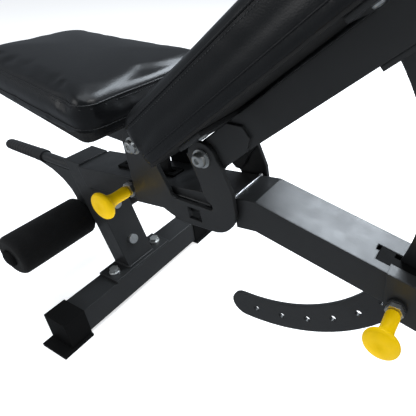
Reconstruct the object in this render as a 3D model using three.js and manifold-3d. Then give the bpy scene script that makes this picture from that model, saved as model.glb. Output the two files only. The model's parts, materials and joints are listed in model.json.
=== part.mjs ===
// Adjustable weight bench: slotted main frame, arc-adjusted backrest, tilting seat, roller arm.
// Millimetres, +Z up, +X towards the head end, the floor at z = 0.
import * as THREE from 'three';
import { mergeVertices } from 'three/addons/utils/BufferGeometryUtils.js';
import Module from 'manifold-3d';

const wasm = await Module();
wasm.setup();

// ---------------------------------------------------------------- driving dimensions
const GAP = 0.3; // clearance kept between touching pieces
const WALL = 3; // wall of the rectangular tubes
const BEAM_HALF = 35; // half width of the main beam, the back tube and the seat tube

const FRONT_RISE = 0.128; // slope of the front beam
const FRONT_TOP = 289.3; // height of the front beam's top where x = 0
const FRONT_DEPTH = 40.3; // vertical depth of the front beam
const JOINT_X = 305; // where the front beam meets the rear beam
const BEND_X = 340; // where the rear beam turns down
const REAR_FALL = 0.22; // slope of the rear beam
const REAR_DEPTH = 51.2; // vertical depth of the rear beam

const FOOT = { half: 25, low: 10, high: 60, reach: 178 }; // foot bar section and half length
const FOOT_CAP = { half: 27.5, high: 63.5, inner: 142, outer: 181, flange: 31, toe: 199, toeHigh: 6 };
const REAR_FOOT_X = 967;
const BASE_PLATE = { low: 60.3, high: 65.3, half: 68, bolt: 52 };

const LEG = { lean: 0.2905, thick: 41.7, half: 30, low: 65.6, frontFace: 16.7, rearFace: 946.4 };
const FRONT_LEG_HIGH = 286.5;
const REAR_LEG_HIGH = 211;

const PIVOT = { x: 266, z: 388 }; // backrest hinge
const BACK_ANGLE = 39; // backrest above horizontal, degrees
const SEAT_PIVOT = { x: 134, z: 376 }; // seat hinge
const SEAT_ANGLE = 3.5; // nose of the seat above horizontal, degrees

const PLATE = { inner: 39.5, outer: 45.5, ear: 24 };
const BOLT_R = 6;
const SLEEVE = { bore: 6.5, outer: 9 };

const ARC = { inner: 291, outer: 343, mid: 317, half: 3, pitch: 9.5, pin: -65.4, holeR: 5.7, tip: -127 };
const ARC_HOLES = [-6, -5, -4, -3, -2, -1, 0, 1, 2, 3, 4];
const BACK_PIN = { x: 549.9, z: 247.1, face: -40.6 };

const QUADRANT = { outer: 112, half: 3, pin: -109.3, pinRadius: 100.8, pitch: 7.5, holeR: 5.4 };
const SEAT_PIN = { x: 94.9, z: 283.1, face: -35.3 };

const ROLLER = { x: -114, z: 142, radius: 40, inner: 12, outer: 160, bore: 12.8 };
const HANDLE = { z: 248, radius: 9.5, gripRadius: 13, tip: -330, gripEnd: -205 };

const BACK_PAD = { x0: -22, x1: 738, under: 24.3, top: 96, half0: 120, half1: 120 };
const SEAT_PAD = { x0: -279, x1: 25, under: 44.3, top: 108, half0: 92, half1: 134 };
const BOARD = { inset: 7, thick: 12 };

const WHEEL = { x: 1040, z: 46, radius: 38, half: 13, y: 118 };

// ---------------------------------------------------------------- materials
const paint = (color, roughness, metalness) =>
  new THREE.MeshStandardMaterial({ color, roughness, metalness });
const FRAME_PAINT = paint(0x2f3235, 0.45, 0.3);
const ZINC = paint(0xb9bcb8, 0.3, 0.9);
const KNOB_YELLOW = paint(0xf8c804, 0.4, 0);
const BLACK_PLASTIC = paint(0x161717, 0.55, 0);
const FOAM = paint(0x0d0d0d, 0.95, 0);
const RUBBER = paint(0x141414, 0.8, 0);
const VINYL = paint(0x1b1c1d, 0.4, 0);
const PLYWOOD = paint(0x8a6a45, 0.8, 0);

// ---------------------------------------------------------------- shape helpers
const radians = (degrees) => (degrees * Math.PI) / 180;
const polar = (radius, degrees) => [radius * Math.cos(radians(degrees)), radius * Math.sin(radians(degrees))];

function arcPoints(cx, cz, radius, from, to, steps) {
  const points = [];
  for (let i = 0; i <= steps; i += 1) {
    const [x, z] = polar(radius, from + ((to - from) * i) / steps);
    points.push([cx + x, cz + z]);
  }
  return points;
}

function outline(points) {
  return points.map(([x, z]) => new THREE.Vector2(x, z));
}

function circleHole(x, z, radius, steps = 20) {
  return new THREE.Path(outline(arcPoints(x, z, radius, 0, 360 - 360 / steps, steps - 1)));
}

// A side profile in X and Z, extruded from y0 to y1.
function prism(points, y0, y1, holes = []) {
  const shape = new THREE.Shape(outline(points));
  shape.holes.push(...holes);
  const geometry = new THREE.ExtrudeGeometry(shape, { depth: y1 - y0, bevelEnabled: false });
  geometry.rotateX(Math.PI / 2);
  geometry.translate(0, y1, 0);
  return geometry;
}

function box(x0, x1, y0, y1, z0, z1) {
  const geometry = new THREE.BoxGeometry(x1 - x0, y1 - y0, z1 - z0);
  geometry.translate((x0 + x1) / 2, (y0 + y1) / 2, (z0 + z1) / 2);
  return geometry;
}

// A turned piece along Y: profile pairs are [radius, y].
function turned(profile, x, z, segments = 24) {
  const geometry = new THREE.LatheGeometry(outline(profile), segments);
  geometry.translate(x, 0, z);
  return geometry;
}

const ring = (x, z, bore, radius, y0, y1, segments = 24) =>
  turned([[bore, y0], [radius, y0], [radius, y1], [bore, y1], [bore, y0]], x, z, segments);

const disc = (x, z, radius, y0, y1, segments = 24) =>
  turned([[0, y0], [radius, y0], [radius, y1], [0, y1]], x, z, segments);

// A round bar between two points.
function rod(from, to, radius, segments = 18) {
  const a = new THREE.Vector3(...from);
  const b = new THREE.Vector3(...to);
  const geometry = new THREE.CylinderGeometry(radius, radius, a.distanceTo(b), segments);
  const along = b.clone().sub(a).normalize();
  const turn = new THREE.Quaternion().setFromUnitVectors(new THREE.Vector3(0, 1, 0), along);
  geometry.applyQuaternion(turn);
  geometry.translate((a.x + b.x) / 2, (a.y + b.y) / 2, (a.z + b.z) / 2);
  return geometry;
}

function hexPrism(x, z, acrossFlats, y0, y1, bore = 0) {
  const points = arcPoints(x, z, acrossFlats / Math.sqrt(3), 0, 300, 5);
  return prism(points, y0, y1, bore ? [circleHole(x, z, bore, 18)] : []);
}

function solid(geometry) {
  const bare = geometry.clone();
  bare.deleteAttribute('normal');
  bare.deleteAttribute('uv');
  const merged = mergeVertices(bare, 1e-4);
  const vertProperties = new Float32Array(merged.attributes.position.array);
  const triVerts = new Uint32Array(merged.index.array);
  return new wasm.Manifold(new wasm.Mesh({ numProp: 3, vertProperties, triVerts }));
}

function shell(manifold) {
  const mesh = manifold.getMesh();
  const geometry = new THREE.BufferGeometry();
  geometry.setAttribute('position', new THREE.BufferAttribute(mesh.vertProperties, 3));
  geometry.setIndex(new THREE.BufferAttribute(mesh.triVerts, 1));
  return geometry;
}

function cut(body, ...tools) {
  return shell(tools.reduce((left, tool) => left.subtract(solid(tool)), solid(body)));
}

function join(...parts) {
  return shell(parts.map(solid).reduce((left, right) => left.add(right)));
}

const bench = new THREE.Group();
const backrest = new THREE.Group();
const seat = new THREE.Group();

function part(parent, name, geometry, material) {
  const mesh = new THREE.Mesh(geometry, material);
  mesh.name = name;
  parent.add(mesh);
}

const SIDES = [['near', -1], ['far', 1]];
// The span [inner, outer] measured out from the middle, on the near or the far side.
const span = (side, inner, outer) => (side < 0 ? [-outer, -inner] : [inner, outer]);

// ---------------------------------------------------------------- feet
function footBar(x) {
  const outer = box(x - FOOT.half, x + FOOT.half, -FOOT.reach, FOOT.reach, FOOT.low, FOOT.high);
  const hollowHalf = FOOT.half - WALL;
  const reach = FOOT.reach + 1;
  const hollow = box(x - hollowHalf, x + hollowHalf, -reach, reach, FOOT.low + WALL, FOOT.high - WALL);
  const holes = [-1, 1].map((side) => {
    const y = side * BASE_PLATE.bolt;
    return rod([x, y, FOOT.high - 2 * WALL], [x, y, FOOT.high + WALL], 5.3);
  });
  return cut(outer, hollow, ...holes);
}

function footCap(x, side) {
  const [y0, y1] = span(side, FOOT_CAP.inner, FOOT_CAP.outer);
  const [t0, t1] = span(side, FOOT_CAP.inner, FOOT_CAP.toe);
  const [c0, c1] = span(side, FOOT_CAP.inner - 1, FOOT.reach + GAP);
  const half = FOOT.half + GAP;
  const body = box(x - FOOT_CAP.half, x + FOOT_CAP.half, y0, y1, 0, FOOT_CAP.high);
  const sole = box(x - FOOT_CAP.flange, x + FOOT_CAP.flange, t0, t1, 0, FOOT_CAP.toeHigh);
  const cavity = box(x - half, x + half, c0, c1, FOOT.low - GAP, FOOT.high + GAP);
  return shell(solid(body).add(solid(sole)).subtract(solid(cavity)));
}

function basePlate(x) {
  const { half, low, high } = BASE_PLATE;
  const plate = box(x - FOOT.half, x + FOOT.half, -half, half, low, high);
  const holes = [-1, 1].map((side) => {
    const y = side * BASE_PLATE.bolt;
    return rod([x, y, BASE_PLATE.low - 1], [x, y, BASE_PLATE.high + 1], 5.3);
  });
  return cut(plate, ...holes);
}

function baseBolt(x, side) {
  const y = side * BASE_PLATE.bolt;
  const seatZ = BASE_PLATE.high + GAP;
  return join(
    rod([x, y, seatZ], [x, y, seatZ + 2], 10),
    rod([x, y, seatZ + 1.5], [x, y, seatZ + 9], 8.8, 6),
    rod([x, y, 40], [x, y, seatZ + 2], 5),
  );
}

function addFoot(end, x) {
  part(bench, `${end}_foot_bar`, footBar(x), FRAME_PAINT);
  for (const [name, side] of SIDES) {
    part(bench, `${end}_foot_cap_${name}`, footCap(x, side), BLACK_PLASTIC);
    part(bench, `${end}_base_bolt_${name}`, baseBolt(x, side), ZINC);
  }
  part(bench, `${end}_base_plate`, basePlate(x), FRAME_PAINT);
}

addFoot('front', 0);
addFoot('rear', REAR_FOOT_X);

// ---------------------------------------------------------------- legs
// The faces of the two legs that meet the beam.
const frontFace = (z) => LEG.frontFace - LEG.lean * (z - LEG.low);
const rearFace = (z) => LEG.rearFace - LEG.lean * (z - LEG.low);

// A leaning square tube closed by a welded plate on top.
function legTube(face, inward, high, holes) {
  const section = (low, top, inset, half) => {
    const corners = [[low, LEG.thick - inset], [low, inset], [top, inset], [top, LEG.thick - inset]];
    return prism(corners.map(([z, offset]) => [face(z) - inward * offset, z]), -half, half);
  };
  const outer = section(LEG.low, high, 0, LEG.half);
  const hollow = section(LEG.low - 5, high - WALL, WALL, LEG.half - WALL);
  return cut(outer, hollow, ...holes);
}

const LEG_BOLTS = [112, 190]; // heights of the two bolts through the front leg
const LEG_NORMAL = new THREE.Vector2(1, LEG.lean).normalize();
const acrossLeg = (z, offset) => [frontFace(z) + LEG_NORMAL.x * offset, 0, z + LEG_NORMAL.y * offset];
const ARM_PLATE = 8; // thickness of the roller arm's back plate

const LEG_BOLT_REACH = 54; // the bolts end in tapped holes in the roller arm

function legBoltHoles() {
  return LEG_BOLTS.map((z) => rod(acrossLeg(z, 5), acrossLeg(z, -LEG_BOLT_REACH - 1), 5.4));
}

part(bench, 'front_leg', legTube(frontFace, 1, FRONT_LEG_HIGH, legBoltHoles()), FRAME_PAINT);
part(bench, 'rear_leg', legTube(rearFace, -1, REAR_LEG_HIGH, []), FRAME_PAINT);

function armBolt(z) {
  return join(
    rod(acrossLeg(z, GAP), acrossLeg(z, 6), 9.5),
    rod(acrossLeg(z, 1), acrossLeg(z, -LEG_BOLT_REACH), 5),
  );
}
part(bench, 'roller_arm_bolt_lower', armBolt(LEG_BOLTS[0]), ZINC);
part(bench, 'roller_arm_bolt_upper', armBolt(LEG_BOLTS[1]), ZINC);

// ---------------------------------------------------------------- main beam
const frontTop = (x) => FRONT_TOP + FRONT_RISE * x;
const rearTop = (x) => frontTop(BEND_X) - REAR_FALL * (x - BEND_X);

const beamStart = frontFace(283.4) + 0.5;
const beamStartLow = frontFace(244.6) + 0.5;
const frontSection = (inset, overrun) => [
  [beamStart - overrun, frontTop(beamStart - overrun) - inset],
  [JOINT_X - 0.5 + overrun, frontTop(JOINT_X - 0.5 + overrun) - inset],
  [JOINT_X - 0.5 + overrun, frontTop(JOINT_X - 0.5 + overrun) - FRONT_DEPTH + inset],
  [beamStartLow - overrun, frontTop(beamStartLow - overrun) - FRONT_DEPTH + inset],
].reverse();

const SEAT_SLOT = { x0: 44, x1: 160, half: 5 };
const ARC_SLOT = { x0: 506, x1: 600, half: 5.5 };
const ARC_WINDOW = { x0: 511, x1: 602, y0: -22, y1: 5.5 }; // opening in the top wall, filled by the guide
const slotCut = (slot) => box(slot.x0, slot.x1, -slot.half, slot.half, 150, 350);
const pinHole = (pin, radius) => rod([pin.x, pin.face - 5, pin.z], [pin.x, -20, pin.z], radius);

part(bench, 'front_beam', cut(
  prism(frontSection(0, 0), -BEAM_HALF, BEAM_HALF),
  prism(frontSection(WALL, 12), WALL - BEAM_HALF, BEAM_HALF - WALL),
  slotCut(SEAT_SLOT),
  pinHole(SEAT_PIN, 8.4),
), FRAME_PAINT);

const rearEnd = rearFace(208.5) - 0.5;
const rearEndLow = rearFace(154) - 0.5;
function rearSection(inset, overrun) {
  const start = JOINT_X - overrun;
  const lowBend = BEND_X - 2.4;
  const shift = inset * 0.17;
  return [
    [start, frontTop(start) - inset],
    [BEND_X - shift, frontTop(BEND_X) - inset],
    [rearEnd + overrun, rearTop(rearEnd + overrun) - inset],
    [rearEndLow + overrun, rearTop(rearEndLow + overrun) - REAR_DEPTH + inset],
    [lowBend + shift, frontTop(lowBend) - REAR_DEPTH + 0.8 + inset],
    [start, frontTop(start) - REAR_DEPTH + 0.8 + inset],
  ].reverse();
}
part(bench, 'rear_beam', cut(
  prism(rearSection(0, 0), -BEAM_HALF, BEAM_HALF),
  prism(rearSection(WALL, 12), WALL - BEAM_HALF, BEAM_HALF - WALL),
  slotCut(ARC_SLOT),
  box(ARC_WINDOW.x0, ARC_WINDOW.x1, ARC_WINDOW.y0, ARC_WINDOW.y1, 262, 350),
  pinHole(BACK_PIN, 8.4),
), FRAME_PAINT);

// Nylon guides for the two blades: one lies on the front beam, one is let into the rear beam.
function slotGuide(top, x0, x1, y0, y1, low, high, slot) {
  const corners = [[x0, top(x0) + low], [x1, top(x1) + low], [x1, top(x1) + high], [x0, top(x0) + high]];
  const plate = prism(corners, y0, y1);
  return cut(plate, box(slot.x0, slot.x1, -3.8, 3.8, 150, 350));
}
part(bench, 'seat_slot_guide', slotGuide(frontTop, 36, 168, -12, 12, GAP, 4, SEAT_SLOT), BLACK_PLASTIC);
part(bench, 'arc_guide', slotGuide(
  rearTop,
  ARC_WINDOW.x0 + GAP, ARC_WINDOW.x1 - GAP,
  ARC_WINDOW.y0 + GAP, ARC_WINDOW.y1 - GAP,
  -6, -0.6,
  { x0: 531, x1: 599 },
), BLACK_PLASTIC);

// Saddle plate folded over the rear beam round the arc slot, shorter on the far side.
function saddle() {
  const x0 = 532;
  const farStart = 546;
  const x1 = 622;
  const inner = BEAM_HALF + GAP;
  const outer = 40.3;
  const rise = 5;
  const profile = [[x0, 240], [x0 + 16, 224], [x1, 207], [x1, rearTop(x1) + rise], [x0, rearTop(x0) + rise]];
  const beamRoom = prism([
    [x0 - 5, 150], [x1 + 5, 150], [x1 + 5, rearTop(x1 + 5) + GAP], [x0 - 5, rearTop(x0 - 5) + GAP],
  ], -inner, inner);
  return cut(
    prism(profile, -outer, outer),
    beamRoom,
    box(x0 - 5, farStart, ARC_WINDOW.y0, outer + 5, 150, 350),
    box(x0 - 5, ARC_WINDOW.x1, ARC_WINDOW.y0, ARC_WINDOW.y1, 250, 350),
    pinHole(BACK_PIN, 8.4),
  );
}
part(bench, 'guide_saddle', saddle(), FRAME_PAINT);

// ---------------------------------------------------------------- U-shaped side plates
function sidePlate(side) {
  const [y0, y1] = span(side, PLATE.inner, PLATE.outer);
  const points = [
    [112, 267], [170.5, 274], [186.5, 267], [213.5, 260], [256.5, 263],
    ...arcPoints(265, 311, 48, -90, 0, 7),
    [311, 343], [299.5, 375],
    ...arcPoints(PIVOT.x, PIVOT.z, PLATE.ear, 10, 190, 12),
    [250, 366], [260, 326], [266, 317],
    ...arcPoints(266, 308, 7, 70, -80, 5),
    [200.5, 301],
    ...arcPoints(203, 313, 12, 250, 180, 3),
    [174.5, 350],
    ...arcPoints(SEAT_PIVOT.x, SEAT_PIVOT.z, PLATE.ear, 0, 180, 12),
  ];
  const holes = [
    circleHole(PIVOT.x, PIVOT.z, BOLT_R + GAP),
    circleHole(SEAT_PIVOT.x, SEAT_PIVOT.z, BOLT_R + GAP),
    new THREE.Path(outline([[224.5, 273], [248.5, 272], [246.5, 295], [222.5, 294]])),
  ];
  const [s0, s1] = span(side, BEAM_HALF + GAP, PLATE.inner + 1);
  return join(
    prism(points, y0, y1, holes),
    box(122, 165, s0, s1, 278, 298),
    box(276, 302, s0, s1, 288, 318),
  );
}

for (const [name, side] of SIDES) {
  part(bench, `side_plate_${name}`, sidePlate(side), FRAME_PAINT);
}

// A hinge bolt across both plates: socket head on the near side, nut on the far side.
function hingeBolt(pivot) {
  const face = PLATE.outer + GAP;
  const profile = [
    [0, -face - 3], [4.4, -face - 3], [4.4, -face - 8], [8, -face - 8], [10.5, -face - 5.5],
    [10.5, -face - 2],
    [14, -face - 2], [14, -face], [BOLT_R, -face], [BOLT_R, face + 14], [0, face + 14],
  ];
  return turned(profile, pivot.x, pivot.z);
}
const hingeNut = (pivot) => hexPrism(pivot.x, pivot.z, 19, PLATE.outer + GAP, PLATE.outer + 12, BOLT_R + GAP);

part(bench, 'back_pivot_bolt', hingeBolt(PIVOT), ZINC);
part(bench, 'back_pivot_nut', hingeNut(PIVOT), ZINC);
part(bench, 'seat_pivot_bolt', hingeBolt(SEAT_PIVOT), ZINC);
part(bench, 'seat_pivot_nut', hingeNut(SEAT_PIVOT), ZINC);

// ---------------------------------------------------------------- pull pins
const PIN = { nose: 5, stem: 3, tip: -4.2, bore: 5.6, barrel: 8, collar: 13.5, end: -15 };
const KNOB_NECK = 8; // added length of the knob's neck, mm

function pinHousing(pin, seatFace) {
  const out = seatFace - 4.4;
  const profile = [
    [PIN.stem + 0.5, out], [PIN.collar, out], [PIN.collar, seatFace], [PIN.barrel, seatFace],
    [PIN.barrel, PIN.end], [PIN.bore, PIN.end], [PIN.bore, out + 3], [PIN.stem + 0.5, out + 3],
    [PIN.stem + 0.5, out],
  ];
  return turned(profile, pin.x, pin.z);
}

const pinNut = (pin, seatFace) =>
  hexPrism(pin.x, pin.z, 22, seatFace - 11.7, seatFace - 4.7, PIN.stem + 0.5);

function pinPlunger(pin, seatFace) {
  const inner = PIN.tip;
  const profile = [
    [0, inner], [PIN.nose - 1.5, inner], [PIN.nose, inner - 1.5], [PIN.nose, PIN.end - 9],
    [PIN.stem, PIN.end - 9],
    [PIN.stem, seatFace - 28], [0, seatFace - 28],
  ];
  return turned(profile.reverse(), pin.x, pin.z, 18);
}

function pinKnob(pin, seatFace) {
  const base = seatFace - 12.6;
  const head = base - 18 - KNOB_NECK;
  const profile = [
    [PIN.stem + GAP, base], [9, base], [10, base - 4], [9.6, head], [11.5, head - 7], [16, head - 13],
    [22, head - 16.5], [23.5, head - 20], [22, head - 24], [15, head - 27], [0, head - 28.5],
    [0, seatFace - 28.4], [PIN.stem + GAP, seatFace - 28.4], [PIN.stem + GAP, base],
  ];
  return turned(profile.reverse(), pin.x, pin.z, 28);
}

function pinSpring(pin, seatFace) {
  const start = PIN.end - 10;
  const end = seatFace - 0.6;
  const coils = 4;
  const points = [];
  for (let i = 0; i <= coils * 10; i += 1) {
    const [x, z] = polar(4.35, i * 36);
    points.push(new THREE.Vector3(pin.x + x, start + ((end - start) * i) / (coils * 10), pin.z + z));
  }
  const wire = new THREE.Shape(outline(arcPoints(0, 0, 0.6, 0, 300, 5)));
  const path = new THREE.CatmullRomCurve3(points);
  return new THREE.ExtrudeGeometry(wire, { steps: coils * 12, extrudePath: path, bevelEnabled: false });
}

for (const [name, pin] of [['back', BACK_PIN], ['seat', SEAT_PIN]]) {
  part(bench, `${name}_pin_housing`, pinHousing(pin, pin.face), FRAME_PAINT);
  part(bench, `${name}_pin_nut`, pinNut(pin, pin.face), ZINC);
  part(bench, `${name}_pin_spring`, pinSpring(pin, pin.face), ZINC);
  part(bench, `${name}_pin_plunger`, pinPlunger(pin, pin.face), ZINC);
  part(bench, `${name}_pin_knob`, pinKnob(pin, pin.face), KNOB_YELLOW);
}

// ---------------------------------------------------------------- handle and leg roller
const armFace = (z) => frontFace(z) - LEG.thick - GAP;

function rollerArm() {
  const plateThick = ARM_PLATE * 1.04;
  const back = prism([
    [armFace(96) - plateThick, 96], [armFace(96), 96], [armFace(282), 282], [armFace(282) - plateThick, 282],
  ], -26, 26);
  const fin = prism([
    [armFace(104) - 2, 104], [armFace(215) - 2, 215], [armFace(238) - 2, 238],
    [-203, 238], [-203, 234.5], [-222, 234.5], [-187, 224], [-160, 208], [-143, 189], [-135, 172],
    ...arcPoints(ROLLER.x, ROLLER.z, 22, 160, 290, 6),
  ], -5, 5);
  const handleHole = rod([-40, 0, HANDLE.z], [-200, 0, HANDLE.z], HANDLE.radius + GAP, 24);
  const axleHole = rod([ROLLER.x, -10, ROLLER.z], [ROLLER.x, 10, ROLLER.z], 12 + GAP, 24);
  return shell(solid(back).add(solid(fin)).subtract(solid(axleHole)).subtract(solid(handleHole))
    .subtract(solid(legBoltHoles()[0])).subtract(solid(legBoltHoles()[1])));
}
part(bench, 'roller_arm', rollerArm(), FRAME_PAINT);

// A turned piece along X: profile pairs are [radius, x].
function turnedAlongX(profile, y, z, segments = 24) {
  const geometry = new THREE.LatheGeometry(outline(profile), segments);
  geometry.rotateZ(-Math.PI / 2);
  geometry.translate(0, y, z);
  return geometry;
}
const tubeEnd = armFace(HANDLE.z) - 5.2;
part(bench, 'handle_tube', turnedAlongX([
  [HANDLE.radius - 2, HANDLE.tip + 8], [HANDLE.radius, HANDLE.tip + 8], [HANDLE.radius, tubeEnd],
  [HANDLE.radius - 2, tubeEnd], [HANDLE.radius - 2, HANDLE.tip + 8],
], 0, HANDLE.z), FRAME_PAINT);
part(bench, 'handle_grip', turnedAlongX([
  [0, HANDLE.tip], [6, HANDLE.tip], [9.5, HANDLE.tip + 2.5], [11, HANDLE.tip + 7],
  [HANDLE.gripRadius, HANDLE.gripEnd], [HANDLE.radius + GAP, HANDLE.gripEnd],
  [HANDLE.radius + GAP, HANDLE.tip + 7.6], [0, HANDLE.tip + 7.6],
], 0, HANDLE.z), RUBBER);

const axleEnd = ROLLER.outer + 1;
part(bench, 'roller_axle', ring(ROLLER.x, ROLLER.z, 9.5, 12, -axleEnd, axleEnd), FRAME_PAINT);
function rollerCap(side) {
  const profile = [[0, 146], [9.2, 146], [9.2, 161.4], [17, 161.4], [16, 165], [11, 167], [0, 167.5]];
  const placed = profile.map(([radius, y]) => [radius, side * y]);
  return turned(side > 0 ? placed : placed.reverse(), ROLLER.x, ROLLER.z);
}

function foamRoller(side) {
  const round = 7;
  const far = ROLLER.outer;
  const profile = [
    [ROLLER.bore, side * ROLLER.inner], [ROLLER.radius - round, side * ROLLER.inner],
    [ROLLER.radius - 2, side * (ROLLER.inner + 2)], [ROLLER.radius, side * (ROLLER.inner + round)],
    [ROLLER.radius, side * (far - round)], [ROLLER.radius - 2, side * (far - 2)],
    [ROLLER.radius - round, side * far], [ROLLER.bore, side * far], [ROLLER.bore, side * ROLLER.inner],
  ];
  return turned(side > 0 ? profile : profile.reverse(), ROLLER.x, ROLLER.z, 32);
}
for (const [name, side] of SIDES) {
  part(bench, `foam_roller_${name}`, foamRoller(side), FOAM);
  part(bench, `roller_cap_${name}`, rollerCap(side), BLACK_PLASTIC);
}

// ---------------------------------------------------------------- transport wheels
function wheelBracket(y) {
  const front = REAR_FOOT_X + FOOT.half + GAP;
  const arm = (y0) => prism([
    [front + 2, 18], [WHEEL.x, 30], ...arcPoints(WHEEL.x, WHEEL.z, 16, -60, 60, 5), [front + 2, 60],
  ], y0, y0 + 4, [circleHole(WHEEL.x, WHEEL.z, BOLT_R + GAP)]);
  return join(box(front, front + 4, y - 20, y + 20, 14, 60), arm(y - 20), arm(y + 16));
}

const wheelProfile = [
  [BOLT_R + 0.5, -WHEEL.half - 1.5], [12, -WHEEL.half - 1.5], [13, -8], [28, -8], [30, -WHEEL.half],
  [35, -WHEEL.half], [WHEEL.radius, -9], [WHEEL.radius, 9], [35, WHEEL.half], [30, WHEEL.half],
  [28, 8], [13, 8], [12, WHEEL.half + 1.5], [BOLT_R + 0.5, WHEEL.half + 1.5],
  [BOLT_R + 0.5, -WHEEL.half - 1.5],
];

const wheelAxle = (y) => join(
  disc(WHEEL.x, WHEEL.z, BOLT_R, y - 24, y + 24),
  disc(WHEEL.x, WHEEL.z, 9, y - 27, y - 20.4),
  hexPrism(WHEEL.x, WHEEL.z, 17, y + 20.4, y + 27),
);

for (const [name, side] of SIDES) {
  const y = side * WHEEL.y;
  const wheel = turned(wheelProfile, WHEEL.x, WHEEL.z, 32);
  wheel.translate(0, y, 0);
  part(bench, `transport_wheel_${name}`, wheel, BLACK_PLASTIC);
  part(bench, `wheel_bracket_${name}`, wheelBracket(y), FRAME_PAINT);
  part(bench, `wheel_axle_${name}`, wheelAxle(y), ZINC);
}

// ---------------------------------------------------------------- backrest, drawn along its own axes
const BACK_TUBE = { low: -26, high: 640, under: -26, top: 19 };
const STRAP = { wide: 44, thick: 5 };
const BACK_STRAP_REACH = 104;
const BACK_STRAPS = [70, 330, 600]; // middles of the straps under the pad

// A rectangular tube with a pivot sleeve through it and flat straps welded on top.
function padFrame(tube, strapMiddles, reach, extras) {
  const half = BEAM_HALF - WALL;
  const outer = box(tube.low, tube.high, -BEAM_HALF, BEAM_HALF, tube.under, tube.top);
  const hollow = box(tube.low - 1, tube.high + 1, -half, half, tube.under + WALL, tube.top - WALL);
  const sleeve = rod([0, -38.9, 0], [0, 38.9, 0], SLEEVE.outer, 24);
  const bore = rod([0, -50, 0], [0, 50, 0], SLEEVE.bore, 24);
  const bars = strapMiddles.map((x) =>
    box(x - STRAP.wide / 2, x + STRAP.wide / 2, -reach, reach, tube.top - 0.5, tube.top + STRAP.thick));
  const welded = [sleeve, ...bars, ...extras].reduce((left, right) => left.add(solid(right)), solid(outer)
    .subtract(solid(hollow)));
  return shell(welded.subtract(solid(bore)));
}

const cheekOutline = [
  [-29, 18], [-33, 4], [-45, -30], [-44, -40], [-38, -45], [-26, -44], [-8, -36], [20, -28],
  [70, -26], [88, -14], [88, 4], [70, 18],
];
const cheeks = SIDES.map(([, side]) => prism(cheekOutline, ...span(side, BEAM_HALF - 0.5, 38.9)));
part(backrest, 'back_frame', padFrame(BACK_TUBE, BACK_STRAPS, BACK_STRAP_REACH, cheeks), FRAME_PAINT);

part(backrest, 'back_tube_plug', join(
  box(BACK_TUBE.high + GAP, BACK_TUBE.high + 4, -BEAM_HALF, BEAM_HALF, BACK_TUBE.under, BACK_TUBE.top),
  box(BACK_TUBE.high - 14, BACK_TUBE.high + 2, -31, 31, BACK_TUBE.under + 4, BACK_TUBE.top - 4),
), BLACK_PLASTIC);

// The blade that swings through the rear beam, with its welding flange along the upper end.
function arcPlate() {
  const [tipX, tipZ] = polar(ARC.mid, ARC.tip);
  const tipRadius = (ARC.outer - ARC.inner) / 2;
  const root = -6; // hidden inside the flange
  const top = BACK_TUBE.under - GAP;
  const holes = ARC_HOLES.map((k) => circleHole(...polar(ARC.mid, ARC.pin + k * ARC.pitch), ARC.holeR, 14));
  const blade = prism([
    ...arcPoints(0, 0, ARC.inner, root, ARC.tip, 44),
    ...arcPoints(tipX, tipZ, tipRadius, ARC.tip + 180, ARC.tip + 360, 10).slice(1, -1),
    ...arcPoints(0, 0, ARC.outer, ARC.tip, root, 44),
  ], -ARC.half, ARC.half, holes);
  return shell(solid(blade)
    .subtract(solid(box(200, 400, -40, 40, top - 1, 40)))
    .add(solid(box(279, 375, -30, 30, top - 6, top))));
}
part(backrest, 'arc_plate', arcPlate(), FRAME_PAINT);

// Plywood board and upholstered pad, shared by the backrest and the seat. A pad's half width
// changes evenly from half0 at x0 to half1 at x1.
function slab(pad, inset, low, high) {
  const corners = [
    [pad.x0 + inset, inset - pad.half0], [pad.x1 - inset, inset - pad.half1],
    [pad.x1 - inset, pad.half1 - inset], [pad.x0 + inset, pad.half0 - inset],
  ];
  const round = 22 - inset;
  const rim = new THREE.Shape();
  corners.forEach(([x, y], i) => {
    const corner = new THREE.Vector2(x, y);
    const before = new THREE.Vector2(...corners[(i + 3) % 4]).sub(corner).setLength(round).add(corner);
    const after = new THREE.Vector2(...corners[(i + 1) % 4]).sub(corner).setLength(round).add(corner);
    if (i === 0) rim.moveTo(before.x, before.y);
    else rim.lineTo(before.x, before.y);
    rim.quadraticCurveTo(x, y, after.x, after.y);
  });
  const options = { depth: high - low, bevelEnabled: false, curveSegments: 4 };
  const geometry = new THREE.ExtrudeGeometry(rim, options);
  geometry.translate(0, 0, low);
  return geometry;
}
const board = (pad) => slab(pad, BOARD.inset, pad.under, pad.under + BOARD.thick);

// The pad has a recess for its board.
const padSolid = (pad) =>
  cut(
    slab(pad, 0, pad.under, pad.top),
    slab(pad, BOARD.inset - GAP, pad.under - 1, pad.under + BOARD.thick + GAP),
  );

part(backrest, 'back_board', board(BACK_PAD), PLYWOOD);
part(backrest, 'back_pad', padSolid(BACK_PAD), VINYL);

backrest.position.set(PIVOT.x, 0, PIVOT.z);
backrest.rotation.y = radians(-BACK_ANGLE);
bench.add(backrest);

// ---------------------------------------------------------------- seat, drawn along its own axes
const SEAT_TUBE = { low: -255, high: 14, under: -10, top: 39 };
const SEAT_STRAPS = [-40, -220];
const SEAT_STRAP_REACH = 82;
part(seat, 'seat_frame', padFrame(SEAT_TUBE, SEAT_STRAPS, SEAT_STRAP_REACH, []), FRAME_PAINT);

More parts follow.
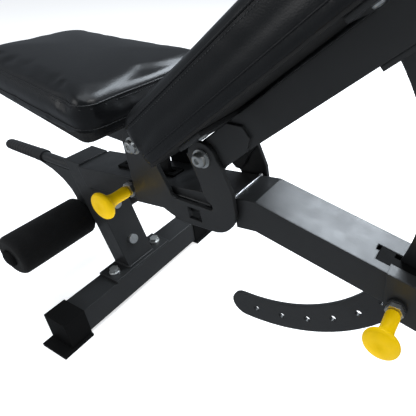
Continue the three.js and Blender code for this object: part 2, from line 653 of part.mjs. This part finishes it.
// The blade under the seat, swinging through the front beam's slot.
function quadrant() {
  const top = SEAT_TUBE.under - GAP;
  const holes = [0, 1, 2].map((k) =>
    circleHole(...polar(QUADRANT.pinRadius, QUADRANT.pin + k * QUADRANT.pitch), QUADRANT.holeR, 14));
  const points = [[-70, top], ...arcPoints(0, 0, QUADRANT.outer, -121, -80, 8), [20, top]];
  return prism(points, -QUADRANT.half, QUADRANT.half, holes);
}
part(seat, 'seat_quadrant', quadrant(), FRAME_PAINT);
part(seat, 'seat_board', board(SEAT_PAD), PLYWOOD);
part(seat, 'seat_pad', padSolid(SEAT_PAD), VINYL);

seat.position.set(SEAT_PIVOT.x, 0, SEAT_PIVOT.z);
seat.rotation.y = radians(SEAT_ANGLE);
bench.add(seat);

// The origin lies on the floor under the middle of the whole bench.
const extent = new THREE.Box3().setFromObject(bench);
bench.position.x = -(extent.min.x + extent.max.x) / 2;

export default bench;
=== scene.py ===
"""Looks of an adjustable weight bench: powder-coated frame, black pads, yellow pull knobs."""
import json
import math

import bmesh
import bpy
from mathutils import Matrix, Vector


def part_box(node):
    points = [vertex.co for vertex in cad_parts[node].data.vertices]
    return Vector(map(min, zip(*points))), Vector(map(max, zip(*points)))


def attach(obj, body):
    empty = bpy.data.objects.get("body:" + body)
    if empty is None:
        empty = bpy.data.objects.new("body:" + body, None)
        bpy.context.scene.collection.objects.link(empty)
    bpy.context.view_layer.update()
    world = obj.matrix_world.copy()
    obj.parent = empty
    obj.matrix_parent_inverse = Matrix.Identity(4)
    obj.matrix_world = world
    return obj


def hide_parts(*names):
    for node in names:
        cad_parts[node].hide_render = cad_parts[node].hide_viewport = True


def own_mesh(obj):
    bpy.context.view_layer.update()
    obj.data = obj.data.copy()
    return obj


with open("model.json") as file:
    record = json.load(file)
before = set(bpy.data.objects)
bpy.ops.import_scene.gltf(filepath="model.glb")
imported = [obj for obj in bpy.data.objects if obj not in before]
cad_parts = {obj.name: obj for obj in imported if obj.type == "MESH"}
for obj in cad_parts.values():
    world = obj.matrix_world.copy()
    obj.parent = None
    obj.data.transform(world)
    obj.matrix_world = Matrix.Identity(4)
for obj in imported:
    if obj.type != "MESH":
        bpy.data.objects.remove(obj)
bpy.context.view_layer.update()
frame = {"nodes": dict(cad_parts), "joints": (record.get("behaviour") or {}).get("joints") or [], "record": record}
nodes = frame["nodes"]
joints = {joint["name"]: joint for joint in frame["joints"]}

# ---------------------------------------------------------------- places, from the frame
MM = 0.001
foot_low, foot_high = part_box("front_foot_bar")
FOOT_X = (foot_low.x + foot_high.x) / 2  # lengths below are measured from the front foot's middle


def at(x, y, z):
    """A point given in millimetres from the front foot, as metres in the frame."""
    return Vector((FOOT_X + x * MM, y * MM, z * MM))


BACK_ANGLE = math.radians(39)
SEAT_ANGLE = math.radians(3.5)
BACK = Matrix.Translation(joints["backrest_hinge"]["pos_m"]) @ Matrix.Rotation(-BACK_ANGLE, 4, "Y")
SEAT = Matrix.Translation(joints["seat_hinge"]["pos_m"]) @ Matrix.Rotation(SEAT_ANGLE, 4, "Y")


def local_points(node, place):
    inverse = place.inverted()
    return [inverse @ vertex.co for vertex in nodes[node].data.vertices]


# ---------------------------------------------------------------- materials
def new_material(name, **sockets):
    material = bpy.data.materials.new(name)
    material.use_nodes = True
    shader = material.node_tree.nodes["Principled BSDF"]
    for socket, value in sockets.items():
        shader.inputs[socket.replace("_", " ")].default_value = value
    return material, material.node_tree, shader


def node(tree, kind, **inputs):
    made = tree.nodes.new(kind)
    for socket, value in inputs.items():
        made.inputs[socket.replace("_", " ")].default_value = value
    return made


def object_noise(tree, scale, detail=3.0, roughness=0.55):
    coordinates = tree.nodes.new("ShaderNodeTexCoord")
    noise = node(tree, "ShaderNodeTexNoise", Scale=scale, Detail=detail, Roughness=roughness)
    tree.links.new(coordinates.outputs["Object"], noise.inputs["Vector"])
    return noise


def ramp(tree, source, stops):
    made = tree.nodes.new("ShaderNodeValToRGB")
    elements = made.color_ramp.elements
    while len(elements) < len(stops):
        elements.new(0.5)
    for element, (place, value) in zip(elements, stops):
        element.position = place
        element.color = value if isinstance(value, tuple) else (value, value, value, 1)
    tree.links.new(source, made.inputs["Fac"])
    return made.outputs["Color"]


def add_bump(tree, shader, height, strength, distance, edge_radius=0.0):
    bump = node(tree, "ShaderNodeBump", Strength=strength, Distance=distance)
    tree.links.new(height, bump.inputs["Height"])
    if edge_radius:
        edge = node(tree, "ShaderNodeBevel", Radius=edge_radius)
        edge.samples = 6
        tree.links.new(edge.outputs["Normal"], bump.inputs["Normal"])
    tree.links.new(bump.outputs["Normal"], shader.inputs["Normal"])


def powder_coat():
    """Satin black powder coat: fine orange peel, soft mottling and rounded tube edges."""
    material, tree, shader = new_material(
        "powder_coat", Metallic=0.0, Coat_Weight=0.2, Coat_Roughness=0.22, Specular_IOR_Level=0.4)
    mottle = object_noise(tree, 9, 4)
    stops = [(0.3, (0.0135, 0.014, 0.0145, 1)), (0.7, (0.0185, 0.019, 0.0195, 1))]
    color = ramp(tree, mottle.outputs["Fac"], stops)
    tree.links.new(color, shader.inputs["Base Color"])
    patches = object_noise(tree, 38, 5)
    rough = ramp(tree, patches.outputs["Fac"], [(0.3, 0.36), (0.72, 0.5)])
    tree.links.new(rough, shader.inputs["Roughness"])
    peel = object_noise(tree, 950, 2)
    add_bump(tree, shader, peel.outputs["Fac"], 0.16, 0.0006, edge_radius=0.0028)
    return material


def plated(name, tint, low, high):
    """Zinc-plated steel with faint turning marks and slightly uneven brightness."""
    material, tree, shader = new_material(name, Metallic=1.0)
    cloud = object_noise(tree, 120, 4)
    dark = tuple(c * 0.72 for c in tint) + (1,)
    color = ramp(tree, cloud.outputs["Fac"], [(0.3, dark), (0.7, tint + (1,))])
    tree.links.new(color, shader.inputs["Base Color"])
    rough = ramp(tree, cloud.outputs["Fac"], [(0.3, high), (0.7, low)])
    tree.links.new(rough, shader.inputs["Roughness"])
    scratches = object_noise(tree, 1400, 2)
    add_bump(tree, shader, scratches.outputs["Fac"], 0.12, 0.0003, edge_radius=0.0006)
    return material


def moulded(name, color, roughness, grain, strength, specular=0.4):
    """Moulded plastic or rubber with a fine grain and small changes of tone."""
    material, tree, shader = new_material(name, Specular_IOR_Level=specular)
    tone = object_noise(tree, 26, 4)
    low = tuple(c * 0.82 for c in color) + (1,)
    shade = ramp(tree, tone.outputs["Fac"], [(0.3, low), (0.7, color + (1,))])
    tree.links.new(shade, shader.inputs["Base Color"])
    rough = ramp(tree, tone.outputs["Fac"], [(0.25, roughness - 0.06), (0.75, roughness + 0.08)])
    tree.links.new(rough, shader.inputs["Roughness"])
    pores = object_noise(tree, grain, 3)
    add_bump(tree, shader, pores.outputs["Fac"], strength, 0.0005, edge_radius=0.001)
    return material


def closed_cell_foam():
    """Soft black foam: matte, with small open pores and dents."""
    material, tree, shader = new_material(
        "closed_cell_foam", Sheen_Weight=0.03, Sheen_Roughness=0.6, Specular_IOR_Level=0.2)
    coordinates = tree.nodes.new("ShaderNodeTexCoord")
    cells = node(tree, "ShaderNodeTexVoronoi", Scale=520.0)
    tree.links.new(coordinates.outputs["Object"], cells.inputs["Vector"])
    color = ramp(tree, cells.outputs["Distance"], [(0.1, 0.0015), (0.7, 0.004)])
    tree.links.new(color, shader.inputs["Base Color"])
    dents = object_noise(tree, 30, 5)
    rough = ramp(tree, dents.outputs["Fac"], [(0.3, 0.72), (0.7, 0.9)])
    tree.links.new(rough, shader.inputs["Roughness"])
    add_bump(tree, shader, cells.outputs["Distance"], 0.5, 0.0008)
    return material


def vinyl():
    """Black coated upholstery fabric: pebbled grain, soft wrinkles and a low gloss."""
    material, tree, shader = new_material(
        "vinyl", Coat_Weight=0.12, Coat_Roughness=0.2, Specular_IOR_Level=0.32)
    coordinates = tree.nodes.new("ShaderNodeTexCoord")
    grain = node(tree, "ShaderNodeTexVoronoi", Scale=640.0)
    grain.feature = "SMOOTH_F1"
    tree.links.new(coordinates.outputs["Object"], grain.inputs["Vector"])
    tone = object_noise(tree, 14, 4)
    stops = [(0.3, (0.0028, 0.0030, 0.0034, 1)), (0.7, (0.0046, 0.0049, 0.0055, 1))]
    color = ramp(tree, tone.outputs["Fac"], stops)
    tree.links.new(color, shader.inputs["Base Color"])
    rough = ramp(tree, tone.outputs["Fac"], [(0.25, 0.3), (0.75, 0.4)])
    tree.links.new(rough, shader.inputs["Roughness"])
    folds = object_noise(tree, 16, 2, 0.4)
    height = tree.nodes.new("ShaderNodeMix")
    height.inputs["Factor"].default_value = 0.35
    tree.links.new(grain.outputs["Distance"], height.inputs["A"])
    tree.links.new(folds.outputs["Fac"], height.inputs["B"])
    add_bump(tree, shader, height.outputs["Result"], 0.22, 0.0009)
    return material


def plywood():
    """Plywood with a black stain: grain lines along the board and a rough cut face."""
    material, tree, shader = new_material("plywood")
    coordinates = tree.nodes.new("ShaderNodeTexCoord")
    stretch = tree.nodes.new("ShaderNodeMapping")
    stretch.inputs["Scale"].default_value = (2.0, 30.0, 12.0)
    tree.links.new(coordinates.outputs["Object"], stretch.inputs["Vector"])
    grain = node(tree, "ShaderNodeTexNoise", Scale=6.0, Detail=6.0)
    tree.links.new(stretch.outputs["Vector"], grain.inputs["Vector"])
    color = ramp(tree, grain.outputs["Fac"], [(0.3, 0.004), (0.7, (0.011, 0.0105, 0.010, 1))])
    tree.links.new(color, shader.inputs["Base Color"])
    rough = ramp(tree, grain.outputs["Fac"], [(0.2, 0.62), (0.8, 0.85)])
    tree.links.new(rough, shader.inputs["Roughness"])
    add_bump(tree, shader, grain.outputs["Fac"], 0.25, 0.0006)
    return material


LOOK = {
    "frame_paint": powder_coat(),
    "zinc": plated("zinc_plate", (0.88, 0.89, 0.87), 0.3, 0.46),
    "knob": moulded("yellow_plastic", (1.0, 0.63, 0.0008), 0.5, 1200, 0.06, specular=0.1),
    "black_plastic": moulded("black_plastic", (0.005, 0.005, 0.005), 0.62, 1500, 0.2, specular=0.08),
    "grip_rubber": moulded("dipped_rubber", (0.013, 0.013, 0.014), 0.56, 900, 0.3),
    "foam": closed_cell_foam(),
    "vinyl": vinyl(),
    "plywood": plywood(),
}
BARE_WELD = plated("bare_weld", (0.85, 0.86, 0.88), 0.3, 0.5)

for subpart in frame["record"]["subparts"]:
    carried = nodes[subpart["node"]]
    carried.data.materials.clear()
    carried.data.materials.append(LOOK[subpart["material_slot"]])


# ---------------------------------------------------------------- mesh helpers
def finish_piece(name, mesh, body, slot, material=None):
    mesh.normal_update()
    bmesh.ops.recalc_face_normals(mesh, faces=mesh.faces)
    data = bpy.data.meshes.new(name)
    mesh.to_mesh(data)
    mesh.free()
    data.materials.append(material or LOOK[slot])
    for polygon in data.polygons:
        polygon.use_smooth = True
    piece = bpy.data.objects.new(name, data)
    bpy.context.scene.collection.objects.link(piece)
    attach(piece, body)
    return piece


def skin(mesh, rings):
    """Joins rings of vertices into a skin, and closes its two ends."""
    made = [[mesh.verts.new(point) for point in ring] for ring in rings]
    for here, there in zip(made, made[1:]):
        for i in range(len(here)):
            j = (i + 1) % len(here)
            mesh.faces.new((here[i], here[j], there[j], there[i]))
    mesh.faces.new(made[0][::-1])
    mesh.faces.new(made[-1])


def rounded(profile, radius=1.2, steps=4):
    """Rounds the corners of an open [radius, along] profile, in millimetres."""
    points = [Vector(p) for p in profile]
    smooth = [points[0]]
    for before, here, after in zip(points, points[1:], points[2:]):
        reach = min(radius, (here - before).length / 2.2, (after - here).length / 2.2)
        start = here + (before - here).normalized() * reach
        end = here + (after - here).normalized() * reach
        for step in range(steps + 1):
            t = step / steps
            smooth.append(start.lerp(here, t).lerp(here.lerp(end, t), t))
    smooth.append(points[-1])
    return smooth


def turned(name, profile, centre, axis, body, slot, corner=1.2, segments=64):
    """A turned solid: profile pairs are [radius, along the axis] from one pole to the other."""
    turn = Vector((0, 0, 1)).rotation_difference(Vector(axis)).to_matrix()
    rings = []
    for radius, along in rounded(profile, corner):
        ring = []
        for i in range(segments):
            angle = 2 * math.pi * i / segments
            flat = Vector((radius * math.cos(angle), radius * math.sin(angle), along)) * MM
            ring.append(centre + turn @ flat)
        rings.append(ring)
    mesh = bmesh.new()
    skin(mesh, rings)
    return finish_piece(name, mesh, body, slot)


def bead(name, points, radius, body, material=None, slot="frame_paint", pitch=4.0):
    """A weld bead along a path: a thin cord with the ripples that the torch leaves. Sizes in mm."""
    dense = []
    for start, end in zip(points, points[1:]):
        steps = max(2, int((end - start).length / (MM * 1.3)))
        dense += [start.lerp(end, step / steps) for step in range(steps)]
    dense.append(points[-1])
    rings = []
    travelled = 0.0
    for i, here in enumerate(dense):
        before = dense[max(i - 1, 0)]
        after = dense[min(i + 1, len(dense) - 1)]
        travelled += (here - before).length
        along = (after - before).normalized()
        side = along.cross(Vector((0.31, 0.27, 0.91))).normalized()
        up = along.cross(side)
        end_taper = 0.55 if i in (0, len(dense) - 1) else 1.0
        ripple = radius * end_taper * MM * (1 + 0.16 * math.sin(2 * math.pi * travelled / (pitch * MM)))
        ring = []
        for k in range(10):
            angle = 2 * math.pi * k / 10
            ring.append(here + (side * math.cos(angle) + up * math.sin(angle)) * ripple)
        rings.append(ring)
    mesh = bmesh.new()
    skin(mesh, rings)
    return finish_piece(name, mesh, body, slot, material)


# ---------------------------------------------------------------- pads
def outline_of(pad, inset, corner, spacing=6.0):
    """The rounded four-sided outline of a pad, pulled in by inset; pad holds millimetres."""
    half0, half1 = pad["half0"] - inset, pad["half1"] - inset
    x0, x1 = pad["x0"] + inset, pad["x1"] - inset
    corners = [Vector((x0, -half0)), Vector((x1, -half1)), Vector((x1, half1)), Vector((x0, half0))]
    full_length = pad["x1"] - pad["x0"]
    edge_lengths = [full_length, 2 * pad["half1"], full_length, 2 * pad["half0"]]
    points = []
    for i, here in enumerate(corners):
        before = (corners[i - 1] - here).normalized() * corner + here
        after = (corners[(i + 1) % 4] - here).normalized() * corner + here
        for step in range(9):
            t = step / 8
            points.append(before.lerp(here, t).lerp(here.lerp(after, t), t))
        following = corners[(i + 1) % 4]
        next_start = (here - following).normalized() * corner + following
        count = max(2, int(edge_lengths[i] / spacing))
        points += [after.lerp(next_start, step / count) for step in range(1, count)]
    return points


def measure_pad(node_name, place):
    """A pad's size along its own axes, in millimetres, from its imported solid."""
    points = local_points(node_name, place)
    x0 = min(p.x for p in points)
    x1 = max(p.x for p in points)
    reach = 0.03
    return {
        "x0": x0 / MM,
        "x1": x1 / MM,
        "half0": max(p.y for p in points if p.x < x0 + reach) / MM,
        "half1": max(p.y for p in points if p.x > x1 - reach) / MM,
        "under": min(p.z for p in points) / MM,
        "top": max(p.z for p in points) / MM,
    }


def side_profile(pad):
    """Pairs of inset and height up the pad's side: bottom roll, groove, wall, seam and shoulder."""
    low, high = pad["under"] + 0.3, pad["top"] - 1.0
    return [
        (26, low), (9, low), (4, low + 1.5), (1.6, low + 6), (1.4, low + 11), (3.2, low + 14.5),
        (3.4, low + 16), (2.0, low + 19), (1.2, low + 28), (1.0, high - 24), (1.8, high - 17),
        (2.6, high - 14.5), (2.2, high - 12), (3.8, high - 7), (7.5, high - 3), (13, high - 0.8),
        (22, high),
    ]


def crowned_pad(name, pad, place, body, crown, replaced):
    """An upholstered pad: flat below, rolled lower edge, bulging wall, seam and a crowned top."""
    rings = []
    for inset, height in side_profile(pad):
        corner = 29 - min(inset, 15) * 0.9
        rings.append([Vector((p.x, p.y, height)) for p in outline_of(pad, inset, corner)])
    rim = rings[-1]
    middle = Vector(((pad["x0"] + pad["x1"]) / 2, 0, pad["top"]))
    spans = 9
    ridge_share = 0.12  # how much of the pad's length its innermost ring keeps
    for step in range(1, spans):
        t = step / spans
        rise = crown * (1 - (1 - t) ** 2.4)
        ring = []
        for p in rim:
            innermost = Vector((middle.x + (p.x - middle.x) * ridge_share, 0, p.z))
            ring.append(p.lerp(innermost, t) + Vector((0, 0, rise)))
        rings.append(ring)
    mesh = bmesh.new()
    skin(mesh, [[place @ (p * MM) for p in ring] for ring in rings])
    piece = finish_piece(name, mesh, body, "vinyl")
    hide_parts(replaced)
    return piece


def swell(piece, place, pad, cap):
    """Lets the cover swell by cloth simulation, with its underside held flat."""
    remesh = piece.modifiers.new("remesh", "REMESH")
    remesh.mode = "VOXEL"
    remesh.voxel_size = 0.0055
    bpy.context.view_layer.objects.active = piece
    piece.select_set(True)
    bpy.ops.object.modifier_apply(modifier=remesh.name)
    inverse = place.inverted()
    held = piece.vertex_groups.new(name="held")
    held_below = (pad["under"] + 18) * MM
    held.add([v.index for v in piece.data.vertices if (inverse @ v.co).z < held_below], 1.0, "REPLACE")
    cloth = piece.modifiers.new("cover", "CLOTH")
    cloth.settings.use_pressure = True
    cloth.settings.uniform_pressure_force = 4.0
    cloth.settings.effector_weights.gravity = 0.0
    cloth.settings.vertex_group_mass = "held"
    cloth.settings.tension_stiffness = 40
    cloth.settings.bending_stiffness = 6.0
    start = [v.co.copy() for v in piece.data.vertices]
    for step in range(1, 21):
        bpy.context.scene.frame_set(step)
    evaluated = piece.evaluated_get(bpy.context.evaluated_depsgraph_get())
    moved = [v.co.copy() for v in evaluated.data.vertices]
    piece.modifiers.remove(cloth)
    bpy.context.scene.frame_set(1)
    for vertex, before, after in zip(piece.data.vertices, start, moved):
        shift = after - before
        if shift.length > cap * MM:
            shift = shift.normalized() * cap * MM
        vertex.co = before + shift
    for polygon in piece.data.polygons:
        polygon.use_smooth = True
    smooth = piece.modifiers.new("finish", "SUBSURF")
    smooth.levels = 1
    smooth.render_levels = 1


def around(cushion, pad, place, height, proud, spacing=3.0):
    """Points round a cushion's side at a height, on its finished surface and proud of it, in metres."""
    inverse = place.inverted()
    turn = place.to_3x3()
    middle_x = (pad["x0"] + pad["x1"]) / 2
    points = []
    for p in outline_of(pad, -12, 36, spacing):
        nearest_x = min(max(p.x, pad["x0"] + 40), pad["x1"] - 40)
        inward = Vector((nearest_x - p.x, -p.y if abs(p.y) > 60 else 0, 0))
        if inward.length < 1:
            inward = Vector((middle_x - p.x, -p.y, 0))
        start = place @ (Vector((p.x, p.y, height)) * MM)
        hit, where, normal, _ = cushion.ray_cast(start, (turn @ inward).normalized(), distance=0.06)
        if hit:
            found = inverse @ (where + normal * proud * MM)
            points.append(place @ Vector((found.x, found.y, height * MM)))
    points.append(points[0])
    return points


def seam(name, cushion, pad, place, body, height, radius):
    """A seam of the cover: a thin cord that follows the cushion's surface."""
    bead(name, around(cushion, pad, place, height, 0.2), radius, body, slot="vinyl", pitch=5.0)


def stitches(name, cushion, pad, place, body, height):
    """A row of short stitches, each a small lens that lies on the cover."""
    mesh = bmesh.new()
    up = place.to_3x3() @ Vector((0, 0, 1))
    path = around(cushion, pad, place, height, 0.25, spacing=2.5)
    for start, end in list(zip(path, path[1:]))[::2]:
        if (end - start).length < 0.0005:
            continue
        along = (end - start).normalized()
        across = along.cross(up)
        middle = start.lerp(end, 0.5)
        rings = []
        for t, size in ((-1.5, 0.15), (-1.0, 0.42), (0.0, 0.55), (1.0, 0.42), (1.5, 0.15)):
            centre = middle + along * t * MM
            ring = []
            for k in range(6):
                angle = math.pi * k / 3
                ring.append(centre + (across * math.cos(angle) + up * math.sin(angle)) * size * MM)
            rings.append(ring)
        skin(mesh, rings)
    finish_piece(name, mesh, body, "vinyl", THREAD)


THREAD = moulded("thread", (0.035, 0.036, 0.038), 0.6, 1800, 0.3)
for name, node_name, place, body, crown in (
    ("seat_cushion", "seat_pad", SEAT, "seat", 8.0),
    ("back_cushion", "back_pad", BACK, "backrest", 6.0),
):
    pad = measure_pad(node_name, place)
    slack = 2.0
    start = {**pad, "x0": pad["x0"] + slack, "x1": pad["x1"] - slack, "top": pad["top"] - slack}
    start["half0"] -= slack
    start["half1"] -= slack
    cushion = crowned_pad(name, start, place, body, crown, node_name)
    swell(cushion, place, pad, cap=3.5)
    bpy.context.view_layer.update()
    seam(f"{name}_seam", cushion, pad, place, body, pad["top"] - 15.5, 1.3)
    seam(f"{name}_lower_seam", cushion, pad, place, body, pad["under"] + 15.5, 0.9)
    stitches(f"{name}_stitches", cushion, pad, place, body, pad["top"] - 20)

# ---------------------------------------------------------------- turned and moulded pieces
KNOB_PROFILE = [
    (0, 54.5), (15, 53), (22, 50), (23.5, 46), (22, 42.5), (16, 39), (11.5, 33), (9.6, 26),
    (10, 4), (9, 0), (0, 0),
]
for pin in ("back", "seat"):
    low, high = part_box(f"{pin}_pin_knob")
    base = Vector(((low.x + high.x) / 2, high.y, (low.z + high.z) / 2))
    knob = turned(f"{pin}_knob_cap", KNOB_PROFILE, base, (0, -1, 0), f"{pin}_pin", "knob", corner=3.0)
    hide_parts(f"{pin}_pin_knob")

# Each pin's return spring is copied into a piece of its own on the main frame, and the imported spring is hidden.
for pin in ("back", "seat"):
    packed = f"{pin}_pin_spring"
    low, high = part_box(packed)
    coil = bpy.data.objects.new(f"{pin}_return_spring", nodes[packed].data.copy())
    bpy.context.scene.collection.objects.link(coil)
    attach(coil, "main_frame")
    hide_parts(packed)
    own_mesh(coil)

for side in ("near", "far"):
    low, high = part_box(f"foam_roller_{side}")
    centre = (low + high) / 2
    length = (high.y - low.y) / MM
    radius = (high.z - low.z) / 2 / MM
    half = length / 2
    sleeve = turned(
        f"foam_sleeve_{side}",
        [(13, half - 3), (14.5, half), (radius - 7, half), (radius, half - 6), (radius, 0),
         (radius, 6 - half), (radius - 7, -half), (14.5, -half), (13, 3 - half)],
        centre, (0, 1, 0), f"roller_{side}", "foam", corner=5.0, segments=72,
    )
    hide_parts(f"foam_roller_{side}")

low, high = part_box("handle_grip")
grip_length = (high.x - low.x) / MM
tip = Vector((low.x, (low.y + high.y) / 2, (low.z + high.z) / 2))
ribs = [(0, 0), (6, 0), (9.5, 2.5), (11, 7)]
for rib in range(9):
    start = 16 + rib * 9
    swelling = 11.3 + 1.6 * start / grip_length
    ribs += [(swelling - 0.5, start), (swelling, start + 2)]
    ribs += [(swelling, start + 6), (swelling - 0.5, start + 8)]
ribs += [(13, grip_length - 18), (13, grip_length - 1), (12, grip_length), (9.8, grip_length)]
grip = turned("ribbed_grip", ribs, tip, (1, 0, 0), "main_frame", "grip_rubber", corner=1.0)
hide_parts("handle_grip")


def socket_head(name, centre, body, size=11.0, height=7.0):
    """A dome-headed screw with a hexagon socket, facing -Y."""
    turned(
        name,
        [(0, height - 4), (size * 0.36, height - 4), (size * 0.38, height), (size * 0.72, height),
         (size * 0.95, height * 0.6), (size, 1), (size, 0), (0, 0)],
        centre, (0, -1, 0), body, "zinc", corner=0.8,
    )


for hinge in ("back", "seat"):
    low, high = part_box(f"{hinge}_pivot_bolt")
    head_seat = Vector(((low.x + high.x) / 2, low.y + 0.004, (low.z + high.z) / 2))
    socket_head(f"{hinge}_pivot_cap", head_seat, "main_frame")

# ---------------------------------------------------------------- welds
beam_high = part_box("front_beam")[1]
joint_x = beam_high.x
half = beam_high.y
top = max(v.co.z for v in nodes["front_beam"].data.vertices if v.co.x > joint_x - 0.003)


def weld_round_beam():
    """The bright weld where the two halves of the beam meet, with a blob at each upper corner."""
    lift = 0.0006
    corners = [
        Vector((joint_x, -half - lift, top - 0.036)), Vector((joint_x, -half - lift, top + lift)),
        Vector((joint_x, half + lift, top + lift)), Vector((joint_x, half + lift, top - 0.036)),
    ]
    bead("beam_weld_top", corners[1:3], 1.5, "main_frame", BARE_WELD, "zinc", pitch=3.2)
    bead("beam_weld_near", corners[:2], 1.3, "main_frame")
    bead("beam_weld_far", corners[2:], 1.3, "main_frame")
    for label, corner in (("near", corners[1]), ("far", corners[2])):
        inward = Vector((0, -0.004 if corner.y > 0 else 0.004, 0.0004))
        blob = [corner + inward * -0.2, corner + inward * 0.4, corner + inward]
        bead(f"beam_weld_blob_{label}", blob, 3.0, "main_frame", BARE_WELD, "zinc", pitch=9)


def weld_leg(end):
    low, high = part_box(f"{end}_base_plate")
    z = high.z + 0.0008
    leg = [v.co for v in nodes[f"{end}_leg"].data.vertices if v.co.z < high.z + 0.002]
    x0, x1 = min(p.x for p in leg), max(p.x for p in leg)
    y = max(p.y for p in leg)
    around_leg = [(x0, -y), (x1, -y), (x1, y), (x0, y), (x0, -y)]
    corners = [Vector((x, side_y, z)) for x, side_y in around_leg]
    bead(f"{end}_leg_weld", corners, 2.2, "main_frame")


weld_round_beam()
weld_leg("front")
weld_leg("rear")

for side in ("near", "far"):
    low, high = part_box(f"side_plate_{side}")
    y = (low.y if side == "far" else high.y)
    run = [Vector((FOOT_X + x * MM, y, z * MM)) for x, z in ((172, 297), (200, 301), (262, 302))]
    bead(f"side_plate_weld_{side}", run, 2.0, "main_frame")

# ---------------------------------------------------------------- screws that hold the pads
def pad_screws(prefix, body, place, frame_node, middles, reach):
    under = min(p.z for p in local_points(frame_node.replace("frame", "board"), place)) / MM - 5.3
    for i, x in enumerate(middles):
        for side, y in (("near", -reach), ("far", reach)):
            head = place @ (Vector((x, y, under)) * MM)
            axis = place.to_3x3() @ Vector((0, 0, -1))
            turned(
                f"{prefix}_screw_{i}_{side}",
                [(0, 1.4), (2.2, 1.4), (2.6, 3.2), (5.4, 2.6), (6.8, 0.8), (6.8, 0), (0, 0)],
                head, axis, body, "zinc", corner=0.5, segments=28,
            )


pad_screws("back", "backrest", BACK, "back_frame", (70, 330, 600), 82)
pad_screws("seat", "seat", SEAT, "seat_frame", (-40, -220), 66)


# ---------------------------------------------------------------- floor, lights and camera
def pale_floor():
    mesh = bmesh.new()
    bmesh.ops.create_grid(mesh, x_segments=2, y_segments=2, size=9)
    data = bpy.data.meshes.new("floor")
    mesh.to_mesh(data)
    mesh.free()
    material, tree, shader = new_material("pale_floor", Roughness=0.9, Specular_IOR_Level=0.1)
    shader.inputs["Base Color"].default_value = (0.93, 0.93, 0.93, 1)
    shader.inputs["Emission Color"].default_value = (1, 1, 1, 1)
    shader.inputs["Emission Strength"].default_value = 0.62
    data.materials.append(material)
    floor = bpy.data.objects.new("floor", data)
    bpy.context.scene.collection.objects.link(floor)
    floor.location.z = -0.0005
    floor.visible_glossy = False  # a matte floor: it adds no sheen to the paint


def soft_light(name, position, target, size, watts, color=(1, 1, 1)):
    data = bpy.data.lights.new(name, "AREA")
    data.shape = "RECTANGLE"
    data.size, data.size_y = size
    data.energy = watts
    data.color = color
    light = bpy.data.objects.new(name, data)
    light.location = position
    light.rotation_euler = (Vector(target) - Vector(position)).to_track_quat("-Z", "Y").to_euler()
    bpy.context.scene.collection.objects.link(light)


def studio():
    pale_floor()
    world = bpy.data.worlds.new("studio")
    world.use_nodes = True
    background = world.node_tree.nodes["Background"]
    background.inputs["Color"].default_value = (0.82, 0.90, 1.0, 1)
    background.inputs["Strength"].default_value = 0.25
    bpy.context.scene.world = world
    middle = at(300, 0, 300)
    soft_light("overhead", middle + Vector((0, -0.1, 2.6)), middle, (3.0, 2.4), 50, (0.88, 0.94, 1.0))
    soft_light("behind", middle + Vector((0.25, 1.8, 1.85)), middle + Vector((0.35, 0, 0)),
               (1.1, 0.9), 62, (0.84, 0.92, 1.0))
    soft_light("right", middle + Vector((1.9, 0.3, 1.7)), middle, (0.9, 0.9), 24)
    soft_light("front_left", middle + Vector((-1.6, -2.0, 1.1)), middle, (1.6, 1.6), 14)
    scene = bpy.context.scene
    scene.view_settings.view_transform = "Standard"
    scene.view_settings.look = "None"


def camera():
    yaw = math.radians(27.563)
    pitch = math.radians(29.036)
    level = math.cos(pitch)
    forward = Vector((-math.sin(yaw) * level, math.cos(yaw) * level, -math.sin(pitch)))
    data = bpy.data.cameras.new("camera")
    data.sensor_width = 36
    data.lens = 36.07
    data.shift_x = -0.2463
    data.shift_y = -0.1259
    data.clip_start = 0.01
    made = bpy.data.objects.new("camera", data)
    made.location = at(622.4, -411.7, 664.0)
    made.rotation_euler = forward.to_track_quat("-Z", "Y").to_euler()
    bpy.context.scene.collection.objects.link(made)
    bpy.context.scene.camera = made


studio()
camera()
